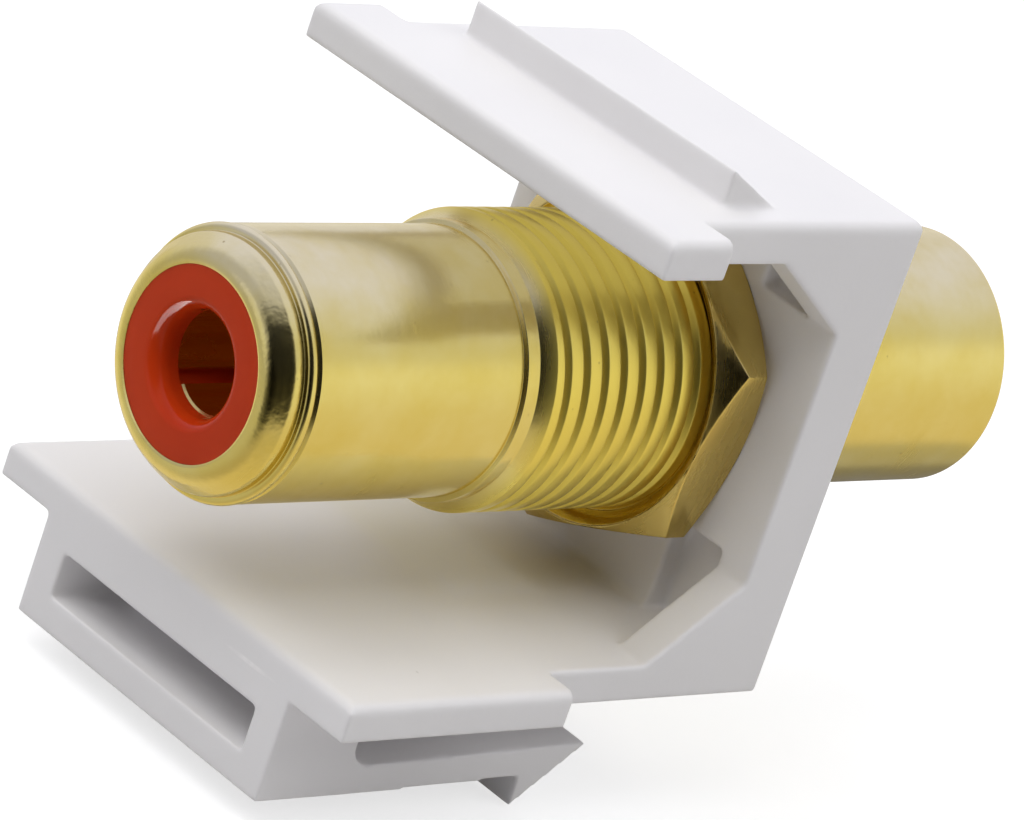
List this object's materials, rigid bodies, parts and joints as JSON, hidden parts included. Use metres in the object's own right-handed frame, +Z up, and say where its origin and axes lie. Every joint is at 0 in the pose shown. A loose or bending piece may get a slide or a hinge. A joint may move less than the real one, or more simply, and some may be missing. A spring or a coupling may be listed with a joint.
{
  "type": "rca keystone coupler",
  "caption": "White snap-in keystone frame with a latch arm and a hooked leg, holding a gold phono socket-to-socket barrel with red insulators, clamped by a hex nut.",
  "frame": {"origin": "where the barrel's axis crosses the front face of the frame", "axes": "+Z up with the latch arm on top, +Y along the barrel towards the back of the panel, and the front face looks along -Y"},
  "size_m": [0.017, 0.0319, 0.0217],
  "materials": {
    "white_plastic": "satin moulded",
    "gold_plate": "polished gold plate",
    "gold_nut": "bright gold plate",
    "red_insulator": "glossy",
    "gold_contact": "gold plate"
  },
  "bodies": {
    "root": {"keystone_frame": "white_plastic", "barrel_shell": "gold_plate", "hex_nut": "gold_nut", "rear_insulator": "red_insulator", "front_insulator": "red_insulator", "centre_contact": "gold_contact"}
  },
  "joints": []
}
